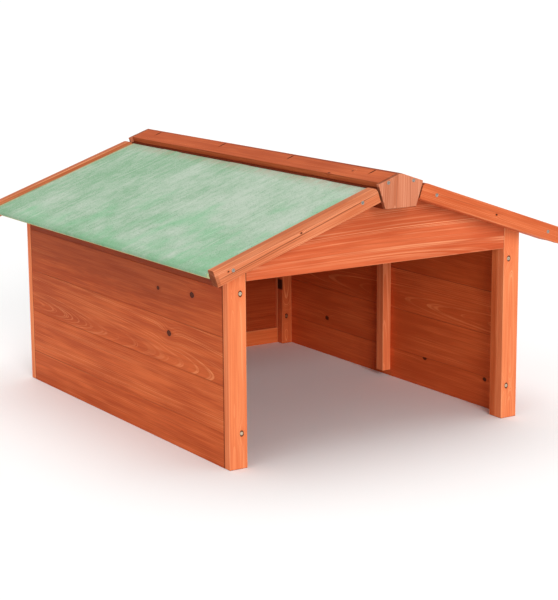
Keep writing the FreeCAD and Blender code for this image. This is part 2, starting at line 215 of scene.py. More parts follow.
# Swings are a gain and a shift. Ring edges are shares of one year's growth.
YEAR_DRIFT = 0.45
YEAR_SWING = 1.6
HARD_EDGE = (0.62, 0.90)
HARD_STOP = (1.0, 0.95)
SOFT_EDGE = (0.30, 0.02)
SOFT_SHARE = 0.55
RING_SEED_STEP = 0.731
RING_SWING = (0.85, 0.30)
FIBRE_SWING = (1.3, -0.65)
STREAK_SWING = (1.1, -0.3)
CLOUD_SWING = (1.5, -0.55)
PATCH_EDGE = (0.25, 0.75)
HALO_SHARE = 0.45
END_EDGE = -0.5 * MM
POCKET_SHADE_EDGE = (0.9 * MM, 1.5 * MM)
END_ON_RINGS = (-0.45, 0.9)
ARRIS_REACH = (-1.7 * MM, -0.5 * MM)
ARRIS_PATCH = (0.3, 0.65)
FIBRE_ROUGHNESS = (0.16, 0.46)
HARD_ROUGHNESS = -0.08
END_ROUGHNESS = 0.25
HARD_HEIGHT = 0.5
FIBRE_HEIGHT = 0.6
KNOT_HOLLOW = 0.5


def make_fir_group():
    """Stained fir cut from a round log. Place runs along, across and through the board."""
    sizes = ["Heart across", "Heart through", "Lean across", "Lean through", "Ring width", "Seed",
             "Half length", "Half width", "Half thickness", "Edge tint share", "Pocket shade", "Waver", "Grain strength",
             "End reach"]
    inputs = [("Place", PLACE)] + [(size, NUMBER) for size in sizes] + KNOT_OUTPUTS
    inputs += [(stain, COLOUR) for stain in ("Dark", "Light", "Line", "Knot and shade", "End grain and pocket shade", "Edge light, shade and joint")]
    outputs = [("Colour", COLOUR), ("Roughness", NUMBER), ("Height", NUMBER)]
    tree, given, result = new_group("Stained fir", inputs, outputs)
    seed, place = given["Seed"], given["Place"]
    along, across, through = parted(tree, place)

    # The log wavers as it grows, and leans a little to the saw.
    bend = tree.nodes.new("ShaderNodeSeparateColor")
    bending = stretched_noise(tree, place, BEND_STRETCH, seed, 1).outputs["Color"]
    tree.links.new(bending, bend.inputs[0])
    log = []
    for side, heart, lean, wave in ((across, "Heart across", "Lean across", bend.outputs[0]),
                                    (through, "Heart through", "Lean through", bend.outputs[1])):
        off = maths(tree, "SUBTRACT", side, given[heart])
        off = maths(tree, "SUBTRACT", off, maths(tree, "MULTIPLY", along, given[lean]))
        wave = maths(tree, "MULTIPLY", maths(tree, "SUBTRACT", wave, 0.5), given["Waver"])
        off = maths(tree, "ADD", off, wave)
        log.append(maths(tree, "POWER", off, 2.0))
    radius = maths(tree, "ADD", maths(tree, "SQRT", maths(tree, "ADD", *log)), given["Push"])

    # Each growth ring goes slowly from soft wood to a hard line, then stops short.
    year = maths(tree, "DIVIDE", radius, given["Ring width"])
    uneven = tree.nodes.new("ShaderNodeTexNoise")
    uneven.noise_dimensions = "1D"
    tree.links.new(maths(tree, "MULTIPLY_ADD", year, YEAR_DRIFT, seed), uneven.inputs["W"])
    year = maths(tree, "ADD", year, maths(tree, "MULTIPLY", uneven.outputs[0], YEAR_SWING))
    into = maths(tree, "FRACT", year)
    hard = maths(tree, "MULTIPLY", ramp(tree, into, *HARD_EDGE), ramp(tree, into, *HARD_STOP))
    count = maths(tree, "MULTIPLY_ADD", maths(tree, "FLOOR", year), RING_SEED_STEP, seed)
    strong = tree.nodes.new("ShaderNodeTexWhiteNoise")
    strong.noise_dimensions = "1D"
    tree.links.new(count, strong.inputs["W"])
    strong = strong.outputs[0]
    hard = maths(tree, "MULTIPLY", hard, maths(tree, "MULTIPLY_ADD", strong, *RING_SWING))
    hard = maths(tree, "MULTIPLY", hard, given["Grain strength"])

    # Fine fibres, and slow clouds where the brush left more or less stain.
    fibre = stretched_noise(tree, place, FIBRE_STRETCH, seed, 3).outputs[0]
    streak = stretched_noise(tree, place, STREAK_STRETCH, seed, 2).outputs[0]
    cloud = stretched_noise(tree, place, CLOUD_STRETCH, seed, 2).outputs[0]
    tone = maths(tree, "MULTIPLY_ADD", cloud, *CLOUD_SWING)
    tone = maths(tree, "ADD", tone, maths(tree, "MULTIPLY_ADD", fibre, *FIBRE_SWING))
    tone = maths(tree, "ADD", tone, maths(tree, "MULTIPLY_ADD", streak, *STREAK_SWING))
    tone = ramp(tree, tone, 0.0, 1.0)
    colour = mixed(tree, tone, given["Dark"], given["Light"])
    patchy = ramp(tree, streak, *PATCH_EDGE)
    colour = mixed(tree, maths(tree, "MULTIPLY", hard, patchy), colour, given["Line"])
    soft = maths(tree, "MULTIPLY", ramp(tree, into, *SOFT_EDGE),
                 maths(tree, "MULTIPLY", strong, SOFT_SHARE))
    colour = mixed(tree, maths(tree, "MULTIPLY", soft, patchy), colour, given["Dark"])
    colour = mixed(tree, maths(tree, "MULTIPLY", given["Halo"], HALO_SHARE), colour, given["Dark"])
    # The heart share also carries the marks, several of which are painted shade.
    colour = mixed(tree, given["Heart"], colour, given["Knot and shade"])

    # Sawn ends drink the stain and turn dark. Holes and pockets below the surface get painted shade in
    # the same dark. Long edges take their own colour.
    end = maths(tree, "SUBTRACT", maths(tree, "ABSOLUTE", along), given["Half length"])
    end = ramp(tree, end, maths(tree, "MULTIPLY", given["End reach"], -1.0), END_EDGE)
    depth = None
    for side, half in ((along, "Half length"), (across, "Half width"), (through, "Half thickness")):
        below = maths(tree, "SUBTRACT", given[half], maths(tree, "ABSOLUTE", side))
        depth = below if depth is None else maths(tree, "MINIMUM", depth, below)
    # Painted shade: wood more than about a millimetre below the surface, in holes and pockets, turns
    # dark.
    pocket_shade = maths(tree, "MULTIPLY", ramp(tree, depth, *POCKET_SHADE_EDGE), given["Pocket shade"])
    end = maths(tree, "MAXIMUM", end, pocket_shade)
    ringed = maths(tree, "MULTIPLY_ADD", hard, *END_ON_RINGS)
    colour = mixed(tree, maths(tree, "MULTIPLY", end, ringed), colour, given["End grain and pocket shade"])
    # The long edges take the edge colour: a painted highlight on most timbers, a dark joint line on the
    # wall and rear boards, and on the cap a dark line that is partly joint and partly painted shadow.
    near = []
    for side, half in ((across, "Half width"), (through, "Half thickness")):
        inset = maths(tree, "SUBTRACT", maths(tree, "ABSOLUTE", side), given[half])
        near.append(ramp(tree, inset, *ARRIS_REACH))
    edge_and_streak_tone = maths(tree, "MULTIPLY", maths(tree, "MULTIPLY", *near), ramp(tree, streak, *ARRIS_PATCH))
    edge_and_streak_tone = maths(tree, "MULTIPLY", edge_and_streak_tone, given["Edge tint share"])
    colour = mixed(tree, edge_and_streak_tone, colour, given["Edge light, shade and joint"])
    tree.links.new(colour, result["Colour"])

    rough = maths(tree, "MULTIPLY_ADD", fibre, *FIBRE_ROUGHNESS)
    rough = maths(tree, "ADD", rough, maths(tree, "MULTIPLY", hard, HARD_ROUGHNESS))
    rough = maths(tree, "ADD", rough, maths(tree, "MULTIPLY", end, END_ROUGHNESS))
    tree.links.new(rough, result["Roughness"])
    height = maths(tree, "ADD", maths(tree, "MULTIPLY", hard, HARD_HEIGHT),
                   maths(tree, "MULTIPLY", fibre, FIBRE_HEIGHT))
    height = maths(tree, "SUBTRACT", height, maths(tree, "MULTIPLY", given["Heart"], KNOT_HOLLOW))
    tree.links.new(height, result["Height"])
    return tree


KNOT_GROUP = make_knot_group()
MARK_GROUP = make_mark_group()
FIR_GROUP = make_fir_group()
GRAIN_RELIEF = 0.35 * MM
GRAIN_STRENGTH = 0.6
BOARD_EDGE_HIGHLIGHT = 0.35
BOARD_WAVER = 7 * MM
END_REACH = 1.1 * MM
OILED_SHINE = 0.07
# How far a board's own log and knots vary, as shares of the board or in millimetres.
LOG_SEEDS = (1, 90)
HEART_OFF = 0.3
HEART_DEPTHS = (16, 34)
LEANS = (0.03, 0.035)
KNOT_COUNTS = (0, 0, 1, 1, 2)
KNOT_SPREAD = (0.42, 0.36)
KNOT_RADII = (2.2, 4.6)
LONG_BOARD = 0.3
board_luck = random.Random(7)


def own_knots(length, width):
    """One or two knots on some of the long boards, and none on the short ones."""
    count = board_luck.choice(KNOT_COUNTS) if length > LONG_BOARD else 0
    return [(board_luck.uniform(-KNOT_SPREAD[0], KNOT_SPREAD[0]) * length,
             board_luck.uniform(-KNOT_SPREAD[1], KNOT_SPREAD[1]) * width,
             board_luck.uniform(*KNOT_RADII) * MM) for _ in range(count)]


def new_material(name):
    """A material, its node tree and its shader."""
    material = bpy.data.materials.new(name)
    material.use_nodes = True
    return material, material.node_tree, material.node_tree.nodes["Principled BSDF"]


def set_down(tree, group, place, values):
    """A group node in a material, with its place linked and its own values."""
    node = tree.nodes.new("ShaderNodeGroup")
    node.node_tree = group
    tree.links.new(place, node.inputs["Place"])
    for name, value in values.items():
        node.inputs[name].default_value = value
    return node


def raise_surface(tree, shader, height, strength, relief):
    """Bumps the shader's normal by a height that changes over the surface."""
    bump = tree.nodes.new("ShaderNodeBump")
    bump.inputs["Strength"].default_value = strength
    bump.inputs["Distance"].default_value = relief
    tree.links.new(height, bump.inputs["Height"])
    tree.links.new(bump.outputs[0], shader.inputs["Normal"])


def finish(piece, material):
    """Puts a material on every face of a piece."""
    piece.data.materials.clear()
    piece.data.materials.append(material)


def stain_board(node, along, across, stain=STAIN, ring=RING_WIDTH, knots=None, heart=None, lean=None,
                edge_tint_share=BOARD_EDGE_HIGHLIGHT, edge=EDGE_HIGHLIGHT, pocket_shade_share=0.0, slot="stained_fir", size=None,
                middle=None, waver=BOARD_WAVER, strength=1.0, end_reach=END_REACH, marks=()):
    """Gives one CAD timber its own fir, cut from its own part of the log.

    knots holds (along, across, radius) from the middle of the board. Without it, the board
    has one or two of its own, or none. marks holds (along, across, slant, half length,
    half width, share).
    """
    low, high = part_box(node)
    middle = middle or (low + high) / 2
    through = along.cross(across)
    spans = size or [sum(abs(a) * s for a, s in zip(axis, high - low))
                     for axis in (along, across, through)]
    seed = board_luck.uniform(*LOG_SEEDS)
    if heart is None:
        heart = (board_luck.uniform(-HEART_OFF, HEART_OFF) * spans[1],
                 board_luck.choice((-1, 1)) * board_luck.uniform(*HEART_DEPTHS) * MM)
    if lean is None:
        lean = [board_luck.uniform(-most, most) for most in LEANS]
    if knots is None:
        knots = own_knots(spans[0], spans[1])
    material, tree, shader = new_material(node + "_fir")
    turn = Matrix((along, across, through))
    mapping = tree.nodes.new("ShaderNodeMapping")
    mapping.inputs["Rotation"].default_value = turn.to_euler()
    mapping.inputs["Location"].default_value = -(turn @ middle)
    tree.links.new(tree.nodes.new("ShaderNodeTexCoord").outputs["Object"], mapping.inputs["Vector"])
    place = mapping.outputs[0]
    fir = set_down(tree, FIR_GROUP, place, {
        "Heart across": heart[0], "Heart through": heart[1], "Lean across": lean[0],
        "Lean through": lean[1], "Ring width": ring, "Seed": seed, "Half length": spans[0] / 2,
        "Half width": spans[1] / 2, "Half thickness": spans[2] / 2, "Edge tint share": edge_tint_share, "Pocket shade": pocket_shade_share,
        "Waver": waver, "Grain strength": strength, "End reach": end_reach,
        "Dark": (*stain["dark"], 1), "Light": (*stain["light"], 1), "Line": (*stain["line"], 1),
        "Knot and shade": (*KNOT_AND_SHADE_STAIN, 1), "End grain and pocket shade": (*END_GRAIN_AND_POCKET_SHADE, 1), "Edge light, shade and joint": (*edge, 1),
    })
    feeds = {}
    for knot in knots:
        group = set_down(tree, KNOT_GROUP, place, dict(zip(KNOT_INPUTS, knot)))
        for name, socket in feeds.items():
            tree.links.new(socket, group.inputs[name])
        feeds = {name: group.outputs[name] for name, _ in KNOT_OUTPUTS}
    for mark in marks:
        group = set_down(tree, MARK_GROUP, place, dict(zip(MARK_INPUTS, mark)))
        if "Heart" in feeds:
            tree.links.new(feeds["Heart"], group.inputs["Heart"])
        feeds["Heart"] = group.outputs["Heart"]
    for name, socket in feeds.items():
        tree.links.new(socket, fir.inputs[name])
    tree.links.new(fir.outputs["Colour"], shader.inputs["Base Color"])
    tree.links.new(fir.outputs["Roughness"], shader.inputs["Roughness"])
    shader.inputs["Specular IOR Level"].default_value = OILED_SHINE
    raise_surface(tree, shader, fir.outputs["Height"], GRAIN_STRENGTH, GRAIN_RELIEF)
    finish(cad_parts[node], material)


POST_SCREW_SIDE = 284 * MM
POST_SCREW_HEIGHTS = (61 * MM, 297.5 * MM)
COUNTERSINK_SHADE_RADIUS = 4.3 * MM


def countersink_shade_rings(node):
    """Dark rings of painted shade in the countersinks where the screws go into an upright, drawn as
    knots.
    """
    low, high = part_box(node)
    middle = (low + high) / 2
    across = math.copysign(POST_SCREW_SIDE, middle.x) - middle.x
    return [(height - middle.z, across, COUNTERSINK_SHADE_RADIUS) for height in POST_SCREW_HEIGHTS]


for node in ("front_post_left", "front_post_right"):
    stain_board(node, UP, WIDE, POST_STAIN, POST_RING, knots=countersink_shade_rings(node),
                edge_tint_share=0.7, pocket_shade_share=1.0)
for node in ("rear_post_left", "rear_post_right"):
    stain_board(node, UP, WIDE, POST_STAIN, POST_RING)

# ---- Stiles and middle battens ------------------------------------------------------------------
# Narrower fir uprights on the inside of the walls. The stiles stand behind the posts and take
# their screws; a batten at the middle of each side wall holds its boards in line.
for node in ("front_stile_left", "front_stile_right"):
    stain_board(node, UP, WIDE, ring=POST_RING, knots=())
for node in ("mid_batten_left", "mid_batten_right"):
    stain_board(node, UP, WIDE, POST_STAIN, POST_RING, knots=(), edge_tint_share=0.6)
# A near-black patch on the right rear stile.
STILE_DARK_PATCH = (-46 * MM, -12.8 * MM, 0.0, 12 * MM, 1.9 * MM, 0.95)
for node, patches in (("rear_stile_left", ()), ("rear_stile_right", (STILE_DARK_PATCH,))):
    stain_board(node, UP, WIDE, ring=POST_RING, knots=countersink_shade_rings(node), pocket_shade_share=1.0, marks=patches)

# ---- Side walls -----------------------------------------------------------------------------------
# Five thin fir boards a side, laid edge to edge from the ground up and fixed to the uprights.
# They are wide slices taken near the bark, so the rings open into long arches and loops.
# The right wall's stain is lighter than the left's: painted light on the wall seen inside the shelter.
WALL_STAINS_AND_PAINTED_LIGHT = {
    "left": {"dark": (0.46, 0.072, 0.015), "light": (0.67, 0.138, 0.036), "line": (0.80, 0.26, 0.092)},
    "right": {"dark": (0.58, 0.090, 0.020), "light": (0.76, 0.145, 0.038), "line": (0.88, 0.25, 0.085)},
}
# Painted shade under the eave: the upper wall boards are darkened step by step.
PAINTED_EAVE_SHADE = (1.0, 1.0, 0.98, 0.85, 0.68)
SHADE_CHANNEL_POWERS = (1.0, 1.4, 1.9)
WALL_RING = 3.1 * MM
WALL_LEAN = 0.012
SIDE_BOARDS = 5
JOINT_STAIN = (0.16, 0.022, 0.006)
JOINT_DARK = 0.4
SIDE_KNOTS = {
    ("left", 3): ((-188 * MM, 15 * MM, 6.0 * MM),),
    ("left", 4): ((-152 * MM, 7 * MM, 4.2 * MM), (-270 * MM, 14 * MM, 5.8 * MM)),
    ("right", 1): ((-124 * MM, 29 * MM, 4.6 * MM), (-308 * MM, 24 * MM, 4.2 * MM)),
    ("right", 2): ((216 * MM, -22 * MM, 5.0 * MM),),
}
STRAIGHT_HEART = (-62 * MM, -24 * MM)
SIDE_HEARTS = {("left", 3): (-27 * MM, -36 * MM), ("right", 3): (-16 * MM, 25 * MM)}
SIDE_LEANS = {("left", 3): (0.012, 0.055), ("right", 3): (0.012, 0.035)}
SIDE_STRENGTHS = {
    ("left", 1): 0.55, ("left", 2): 0.9, ("left", 4): 0.45, ("left", 5): 0.4,
    ("right", 1): 0.4, ("right", 2): 0.55, ("right", 4): 0.5, ("right", 5): 0.4,
}
# Bands of painted shade under the eave, darker towards the top and rear of the left wall, as (along,
# across, slant, half length, half width, share).
SIDE_EAVE_SHADE_MARKS = {
    ("left", 3): ((330 * MM, 30 * MM, 0.0, 330 * MM, 55 * MM, 0.10),),
    ("left", 4): ((160 * MM, 41 * MM, 0.0, 430 * MM, 62 * MM, 0.23),),
    ("left", 5): ((60 * MM, 25 * MM, 0.0, 520 * MM, 58 * MM, 0.30),),
}
SIDE_WAVER = 5 * MM
SIDE_END_DARK = 3.2 * MM


def with_painted_shade(stain, shade):
    """The same stain darkened by painted shade, which takes most from green and blue."""
    return {name: [part * shade ** depth for part, depth in zip(colour, SHADE_CHANNEL_POWERS)]
            for name, colour in stain.items()}


for side in ("left", "right"):
    for board in range(1, SIDE_BOARDS + 1):
        which = (side, board)
        stain = with_painted_shade(WALL_STAINS_AND_PAINTED_LIGHT[side], PAINTED_EAVE_SHADE[board - 1])
        heart = SIDE_HEARTS.get(which, STRAIGHT_HEART)
        lean = SIDE_LEANS.get(which, (board_luck.uniform(-WALL_LEAN, WALL_LEAN), 0.0))
        stain_board(f"side_board_{board}_{side}", DEEP, UP, stain, WALL_RING, SIDE_KNOTS.get(which, ()),
                    heart, lean, edge_tint_share=JOINT_DARK, edge=JOINT_STAIN, waver=SIDE_WAVER,
                    strength=SIDE_STRENGTHS.get(which, 1.0), end_reach=SIDE_END_DARK,
                    marks=SIDE_EAVE_SHADE_MARKS.get(which, ()))

# ---- Rear wall ------------------------------------------------------------------------------------
# A fir rail along the foot and four thinner boards above it, laid edge to edge. Their ends are
# let into the rebates of the rear posts.
REAR_STAIN = {"dark": (0.37, 0.048, 0.010), "light": (0.49, 0.076, 0.018), "line": (0.60, 0.13, 0.042)}
RAIL_STAIN = {"dark": (0.68, 0.125, 0.030), "light": (0.80, 0.180, 0.050), "line": (0.88, 0.27, 0.100)}
REAR_HEART = (58 * MM, 24 * MM)
REAR_STRENGTH = 0.7
REAR_BOARDS = 4
stain_board("rear_rail", WIDE, UP, RAIL_STAIN)
for board in range(1, REAR_BOARDS + 1):
    stain_board(f"rear_board_{board}", WIDE, UP, REAR_STAIN, heart=REAR_HEART, edge_tint_share=JOINT_DARK,
                edge=JOINT_STAIN, strength=REAR_STRENGTH)

# ---- Gable boards ---------------------------------------------------------------------------------
# The three-cornered boards over the opening and over the rear wall, sawn from one wide plank.
# The saw crossed the rings at a slant, and they run over the face in long arches.
GABLE_STAIN = {"dark": (0.52, 0.090, 0.028), "light": (0.69, 0.155, 0.056), "line": (0.88, 0.37, 0.18)}
GABLE_RING = 8 * MM
GABLE_WAVER = 12 * MM
GABLE_MARK = (-50 * MM, 12 * MM, 0.03, 190 * MM, 20 * MM, 0.09)
GABLE_CUTS = {
    "front": {"heart": (-74 * MM, 44 * MM), "lean": (0.035, 0.03)},
    "rear": {"heart": (60 * MM, 40 * MM), "lean": (-0.02, 0.03)},
}
for end, cut in GABLE_CUTS.items():
    stain_board(end + "_gable_board", WIDE, UP, GABLE_STAIN, GABLE_RING, knots=(),
                waver=GABLE_WAVER, marks=(GABLE_MARK,), **cut)

# ---- Ridge beam -------------------------------------------------------------------------------------
# The fir beam under the cap runs the length of the roof and is let through both gables. The
# fixed leaves of the hinges are screwed to its sides.
# Its stain is near black: painted shadow on the strip of beam that shows between the cap and the felt.
BEAM_PAINTED_SHADOW = {"dark": (0.13, 0.019, 0.005), "light": (0.19, 0.030, 0.009), "line": (0.25, 0.050, 0.018)}
stain_board("ridge_beam", DEEP, WIDE, BEAM_PAINTED_SHADOW, POST_RING, slot="hidden_fir", edge_tint_share=0.0)

# ---- Ridge cap boards and their staples -------------------------------------------------------------
# Two planed boards meet along the ridge and cover the hinges. Wire staples, driven below the
# surface across the grain, hold them to the beam.
ROOF_PITCH = math.radians(19.0)
CAP_WIDTH = 40 * MM
CAP_THICKNESS = 10 * MM
CAP_TOP = 9.8 * MM
RIDGE_LINE = 469.635 * MM
# The cap's edges are dark: a joint line where the boards meet, and painted shadow along the cap's foot
# on the felt.
CAP_JOINT_AND_SHADOW_EDGE = (0.22, 0.032, 0.009)
CAP_KNOTS = {
    "left": ((-284 * MM, 17 * MM, 2.2 * MM), (-329 * MM, -3 * MM, 1.8 * MM)),
    "right": ((150 * MM, 6 * MM, 2.4 * MM),),
}
STAPLE_LINES = (-376 * MM, -121 * MM, 121 * MM, 376 * MM)
# Painted shade in each staple pocket: a dark patch where the staple is sunk below the surface.
STAPLE_POCKET_SHADE = (-12.5 * MM, 0.0, 2.0 * MM, 6.5 * MM, 1.0)
CAP_STAIN = {"dark": (0.42, 0.074, 0.020), "light": (0.60, 0.130, 0.040), "line": (0.72, 0.22, 0.080)}


def down_slope(side):
    """The direction down the roof on one side, and the direction square to it."""
    down = Vector((side * math.cos(ROOF_PITCH), 0, -math.sin(ROOF_PITCH)))
    out = Vector((side * math.sin(ROOF_PITCH), 0, math.cos(ROOF_PITCH)))
    return down, out


SIDES = {"left": -1, "right": 1}
for side, sign in SIDES.items():
    down, out = down_slope(sign)
    low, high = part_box("ridge_cap_" + side)
    across_middle = down * CAP_WIDTH / 2 + out * (CAP_TOP - CAP_THICKNESS / 2)
    pocket_shades = [(place, *STAPLE_POCKET_SHADE) for place in STAPLE_LINES]
    stain_board("ridge_cap_" + side, DEEP, down, CAP_STAIN, knots=CAP_KNOTS[side], marks=pocket_shades,
                edge_tint_share=0.8, edge=CAP_JOINT_AND_SHADOW_EDGE, pocket_shade_share=1.0,
                size=(high.y - low.y, CAP_WIDTH, CAP_THICKNESS),
                middle=Vector((0, 0, RIDGE_LINE)) + across_middle)


METAL_SPOT_STRETCH = (420, 420, 420)
METAL_SPOT_EDGE = (0.45, 0.75)
METAL_UNEVEN = 0.3


def metal(name, colour, roughness, spots, spot_colour):
    """Dull or bright plated steel with faint spots of handling and age."""
    material, tree, shader = new_material(name)
    place = tree.nodes.new("ShaderNodeTexCoord").outputs["Object"]
    mottle = stretched_noise(tree, place, METAL_SPOT_STRETCH, spots, 3).outputs[0]
    stained = mixed(tree, ramp(tree, mottle, *METAL_SPOT_EDGE), (*colour, 1), (*spot_colour, 1))
    tree.links.new(stained, shader.inputs["Base Color"])
    uneven = maths(tree, "MULTIPLY_ADD", mottle, METAL_UNEVEN, roughness)
    tree.links.new(uneven, shader.inputs["Roughness"])
    shader.inputs["Metallic"].default_value = 1.0
    return material


STAPLE_STEEL = metal("staple_wire", (0.035, 0.022, 0.016), 0.55, 3.0, (0.018, 0.010, 0.007))
finish(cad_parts["ridge_cap_staples"], STAPLE_STEEL)

# ---- Ridge end plates -------------------------------------------------------------------------------
# A five-cornered fir plate of upright grain closes each end of the ridge and hides the end of
# the beam. Two screws hold it.
PLATE_STAIN = {"dark": (0.47, 0.125, 0.052), "light": (0.60, 0.205, 0.108), "line": (0.78, 0.34, 0.20)}
PLATE_HEART = (-12 * MM, 26 * MM)
PLATE_LEAN = (0.05, 0.02)
PLATE_WAVER = 10 * MM
PLATE_MARKS = (
    (0.0, -26 * MM, 0.02, 60 * MM, 15 * MM, 0.10),
    (0.0, -9.5 * MM, 0.03, 60 * MM, 0.7 * MM, 0.30),
    (0.0, 19 * MM, -0.04, 60 * MM, 0.8 * MM, 0.18),
)
for node in ("ridge_end_plate_front", "ridge_end_plate_rear"):
    stain_board(node, UP, WIDE, PLATE_STAIN, POST_RING, knots=(), heart=PLATE_HEART,
                lean=PLATE_LEAN, pocket_shade_share=0.8, waver=PLATE_WAVER, strength=1.2, marks=PLATE_MARKS)

# ---- Hinges ---------------------------------------------------------------------------------------
# Six small steel butt hinges under the cap, three a side, with rolled knuckles and a pin each.
# The flaps swing on them.
HINGE_STEEL = metal("hinge_steel", (0.30, 0.28, 0.26), 0.38, 5.0, (0.16, 0.12, 0.09))
HINGE_PARTS = ["hinge_fixed_leaves", "hinge_pins",
               "hinge_moving_leaves_left", "hinge_moving_leaves_right"]
HINGE_SCREWS = ["hinge_fixed_screws", "hinge_moving_screws_left", "hinge_moving_screws_right"]
for node in HINGE_PARTS:
    finish(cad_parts[node], HINGE_STEEL)
for node in HINGE_SCREWS:
    finish(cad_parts[node], HINGE_STEEL)

# ---- Flap boards, rafters and head battens --------------------------------------------------------
# Each half of the roof is a thin board on two sloping rafters, with a batten along its head that
# takes the moving leaves of the hinges. Their undersides show when the roof is lifted.
BOARD_DOWN = 339 * MM
RAFTER_HEIGHT = 24 * MM
UNDER_STAIN = {"dark": (0.50, 0.082, 0.022), "light": (0.66, 0.128, 0.038), "line": (0.78, 0.22, 0.080)}
for side, sign in SIDES.items():
    down, out = down_slope(sign)
    for end in ("front", "rear"):
        stain_board(f"rafter_{end}_{side}", down, out, UNDER_STAIN, POST_RING, slot="hidden_fir",
                    size=(BOARD_DOWN, RAFTER_HEIGHT, RAFTER_HEIGHT))
    stain_board("head_batten_" + side, DEEP, down, UNDER_STAIN, POST_RING, slot="hidden_fir")
    stain_board("roof_board_" + side, DEEP, down, UNDER_STAIN, slot="hidden_fir")

# ---- Barge boards -----------------------------------------------------------------------------------
# Planed boards along the sloping edges of the roof, front and rear, screwed to the rafters. The
# upper end is rounded so that it passes the end plate as the flap lifts.
BARGE_LENGTH = 336.5 * MM
BARGE_HEIGHT = 28.6 * MM
BARGE_THICKNESS = 17 * MM
BARGE_MIDDLE = (217.25 * MM, -6.6 * MM)
BARGE_STAINS = {
    "left": {"dark": (0.54, 0.130, 0.046), "light": (0.71, 0.235, 0.105), "line": (0.84, 0.34, 0.18)},
    "right": {"dark": (0.54, 0.100, 0.029), "light": (0.68, 0.158, 0.053), "line": (0.80, 0.25, 0.105)},
}
BARGE_HEARTS = {"left": (-34 * MM, 9 * MM), "right": (30 * MM, 12 * MM)}
BARGE_LEAN = (0.004, 0.0)
BARGE_WAVER = 3.5 * MM
BARGE_STRENGTH = 0.8
BARGE_KNOTS = {
    "left": ((142 * MM, 2 * MM, 1.5 * MM), (-5 * MM, 3 * MM, 1.7 * MM)),
    "right": ((6 * MM, 0, 1.9 * MM),),
}
BARGE_MARKS_AND_GROOVE_SHADE = {
    "left": (
        # Painted shade: the dark line along the groove in the middle of the left barge's face.
        (0.0, -0.5 * MM, -0.019, 172 * MM, 0.75 * MM, 0.62),
        (70 * MM, -4.2 * MM, -0.012, 80 * MM, 0.6 * MM, 0.40),
        (-20 * MM, 14 * MM, 0.004, 190 * MM, 8 * MM, 0.17),
        (30 * MM, 6.6 * MM, 0.006, 120 * MM, 0.5 * MM, 0.30),
        (168 * MM, -4 * MM, 0.0, 7 * MM, 9 * MM, 0.30),
    ),
    "right": ((-60 * MM, 3.5 * MM, 0.01, 90 * MM, 0.5 * MM, 0.25),),
}
for side, sign in SIDES.items():
    down, out = down_slope(sign)
    for end in ("front", "rear"):
        low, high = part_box(f"barge_board_{end}_{side}")
        middle = Vector((0, (low.y + high.y) / 2, RIDGE_LINE))
        middle = middle + down * BARGE_MIDDLE[0] + out * BARGE_MIDDLE[1]
        stain_board(f"barge_board_{end}_{side}", down, out, BARGE_STAINS[side], POST_RING,
                    knots=BARGE_KNOTS[side], heart=BARGE_HEARTS[side], lean=BARGE_LEAN,
                    waver=BARGE_WAVER, strength=BARGE_STRENGTH, marks=BARGE_MARKS_AND_GROOVE_SHADE[side],
                    edge_tint_share=0.4, pocket_shade_share=1.0, middle=middle,
                    size=(BARGE_LENGTH, BARGE_HEIGHT, BARGE_THICKNESS))

# ---- Roofing felt -----------------------------------------------------------------------------------
# One sheet of green mineral felt a side, laid over the roof board from the ridge to the eave and
# folded down over its edge. It is dressed over the hinge knuckles, lies between the barge boards,
# and is not quite flat. A cut edge shows the pale yellow backing.
FELT_HEAD = 48 * MM
FELT_EAVE = 387 * MM
FELT_THICKNESS = 1.2 * MM
FELT_FOLD = 7.2 * MM
FELT_FOLD_RADIUS = 2.5 * MM
FELT_HALF_WIDTH = 424 * MM
FOLD_STEPS = 6
FOLD_STEP = 2.4 * MM
# The waves of the felt: their height, their flat share, slow and quick lies, and lifted edge.
FELT_WAVE = 0.55 * MM
FLAT_SHARE = 0.6
SLOW_LIE = {"share": 0.6, "down": 9, "along": 11, "seed": 3.0}
QUICK_LIE = {"share": 0.5, "down": 28, "along": 30, "seed": 8.0}
EDGE_SHARE = 0.9
EDGE_REACH = 14 * MM
NOTCH_PLACES = (-260 * MM, 0.0, 260 * MM)
NOTCH_HALF = 27 * MM
NOTCH_FOOT = 52.3 * MM
FELT_STEP = 6 * MM
KNUCKLE_LIFT = 1.25 * MM
KNUCKLE_BARE = 1.2 * MM
FELT_BEND = 12 * MM


def steps_between(stops, step):
    """Places from the first stop to the last, meeting every stop, no further apart than step."""
    places = [stops[0]]
    for start, stop in zip(stops, stops[1:]):
        count = max(1, math.ceil((stop - start) / step - 1e-6))
        places += [start + (stop - start) * i / count for i in range(1, count + 1)]
    return places


def felt_profile():
    """Outer and inner points (down, out) from the head to the foot of the fold, and lengths."""
    points = []
    for down in steps_between((FELT_HEAD, NOTCH_FOOT, FELT_EAVE - FELT_FOLD_RADIUS), FELT_STEP):
        points.append(((down, 0.0), (min(down, FELT_EAVE - FELT_THICKNESS), -FELT_THICKNESS)))
    inside = FELT_EAVE - FELT_THICKNESS
    for i in range(1, FOLD_STEPS + 1):
        angle = math.radians(90 / FOLD_STEPS * i)
        far = FELT_EAVE - FELT_FOLD_RADIUS * (1 - math.sin(angle))
        out = -FELT_FOLD_RADIUS * (1 - math.cos(angle))
        if i <= FOLD_STEPS / 2:
            inner = (min(far, inside), -FELT_THICKNESS)
        else:
            inner = (inside, min(-FELT_THICKNESS, out))
        points.append(((far, out), inner))
    for out in steps_between((FELT_FOLD_RADIUS, FELT_FOLD), FOLD_STEP)[1:]:
        points.append(((FELT_EAVE, -out), (inside, -out)))
    lengths = [0.0]
    for (last, _), (now, _) in zip(points, points[1:]):
        lengths.append(lengths[-1] + math.dist(last, now))
    return points, lengths


def share_of(distance):
    """0 up to no distance, then a smooth rise to 1 over the length the felt needs to bend."""
    share = min(1.0, max(0.0, distance / FELT_BEND))
    return share * share * (3 - 2 * share)


